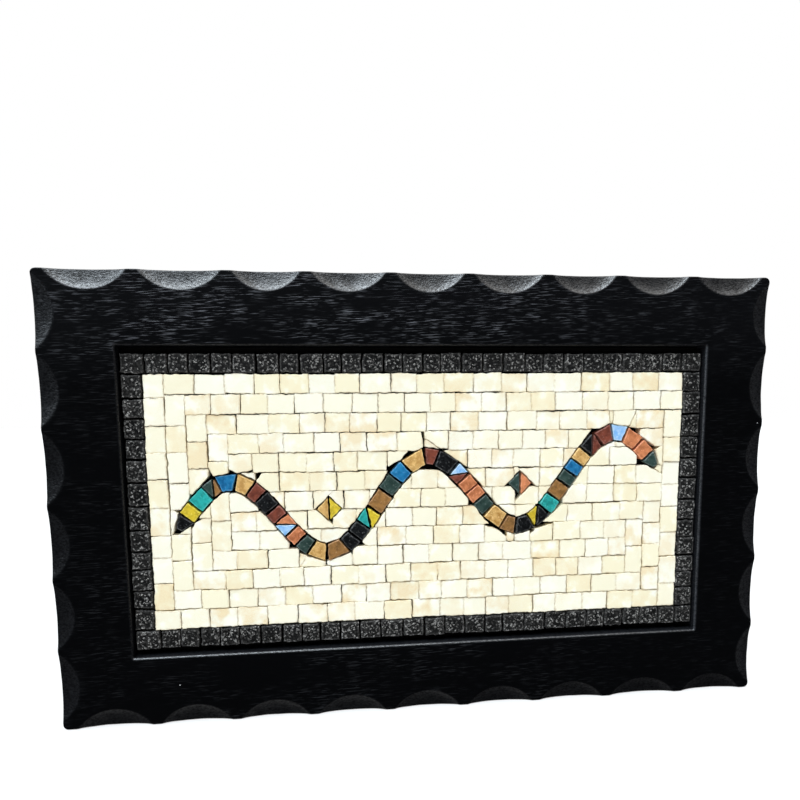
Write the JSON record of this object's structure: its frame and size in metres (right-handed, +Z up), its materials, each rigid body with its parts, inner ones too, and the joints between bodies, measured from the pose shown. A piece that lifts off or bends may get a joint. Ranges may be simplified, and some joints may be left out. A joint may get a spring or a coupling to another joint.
{
  "type": "mosaic sign",
  "caption": "Rectangular wall plaque: a dark wooden board with a scalloped edge holding a stone mosaic with a coloured wave inlay in a routed recess.",
  "frame": {"origin": "middle of the board's flat back, where it meets the wall", "axes": "+X to the right seen from the front, +Z up, and the mosaic faces -Y, away from the wall"},
  "size_m": [0.35, 0.02, 0.214],
  "materials": {
    "stained_wood": "near-black satin stain over open grain",
    "adhesive": "dark matt adhesive",
    "dark_stone": "rough sawn dark granular stone",
    "cream_marble": "split cream marble, dull sheen",
    "black_tile": "glossy black",
    "green_tile": "glossy deep green",
    "turquoise_tile": "glossy turquoise",
    "blue_tile": "glossy blue",
    "light_blue_tile": "glossy light blue",
    "terracotta_tile": "smooth terracotta red",
    "red_brown_tile": "smooth dark red-brown",
    "brown_tile": "smooth brown",
    "ochre_tile": "smooth ochre",
    "yellow_tile": "smooth golden yellow"
  },
  "bodies": {
    "root": {"board": "stained_wood", "adhesive_bed": "adhesive", "border_top": "dark_stone", "border_bottom": "dark_stone", "border_left": "dark_stone", "border_right": "dark_stone", "ribbon_tessera_01": "black_tile", "ribbon_tessera_02": "yellow_tile", "ribbon_tessera_03": "turquoise_tile", "ribbon_tessera_04": "brown_tile", "ribbon_tessera_05": "green_tile", "ribbon_tessera_06": "blue_tile", "ribbon_tessera_07": "ochre_tile", "ribbon_tessera_08": "red_brown_tile", "ribbon_tessera_09": "black_tile", "ribbon_tessera_10": "red_brown_tile", "ribbon_tessera_11": "light_blue_tile", "ribbon_tessera_12": "terracotta_tile", "ribbon_tessera_13": "terracotta_tile", "ribbon_tessera_14": "green_tile", "ribbon_tessera_15": "ochre_tile", "ribbon_tessera_16": "brown_tile", "ribbon_tessera_17": "black_tile", "ribbon_tessera_18": "black_tile", "ribbon_tessera_19": "yellow_tile", "ribbon_tessera_20": "turquoise_tile", "ribbon_tessera_21": "brown_tile", "ribbon_tessera_22": "green_tile", "ribbon_tessera_23": "blue_tile", "ribbon_tessera_24": "ochre_tile", "ribbon_tessera_25": "red_brown_tile", "ribbon_tessera_26": "black_tile", "ribbon_tessera_27": "red_brown_tile", "ribbon_tessera_28": "light_blue_tile", "ribbon_tessera_29": "terracotta_tile", "ribbon_tessera_30": "terracotta_tile", "ribbon_tessera_31": "green_tile", "ribbon_tessera_32": "ochre_tile", "ribbon_tessera_33": "brown_tile", "ribbon_tessera_34": "black_tile", "ribbon_tessera_35": "black_tile", "ribbon_tessera_36": "yellow_tile", "ribbon_tessera_37": "turquoise_tile", "ribbon_tessera_38": "brown_tile", "ribbon_tessera_39": "green_tile", "ribbon_tessera_40": "blue_tile", "ribbon_tessera_41": "ochre_tile", "ribbon_tessera_42": "red_brown_tile", "ribbon_tessera_43": "black_tile", "ribbon_tessera_44": "red_brown_tile", "ribbon_tessera_45": "light_blue_tile", "ribbon_tessera_46": "terracotta_tile", "ribbon_tessera_47": "terracotta_tile", "ribbon_tessera_48": "green_tile", "left_lozenge_right_half": "yellow_tile", "left_lozenge_left_half": "ochre_tile", "right_lozenge_right_half": "terracotta_tile", "right_lozenge_left_half": "green_tile", "cream_field": "cream_marble"}
  },
  "joints": []
}
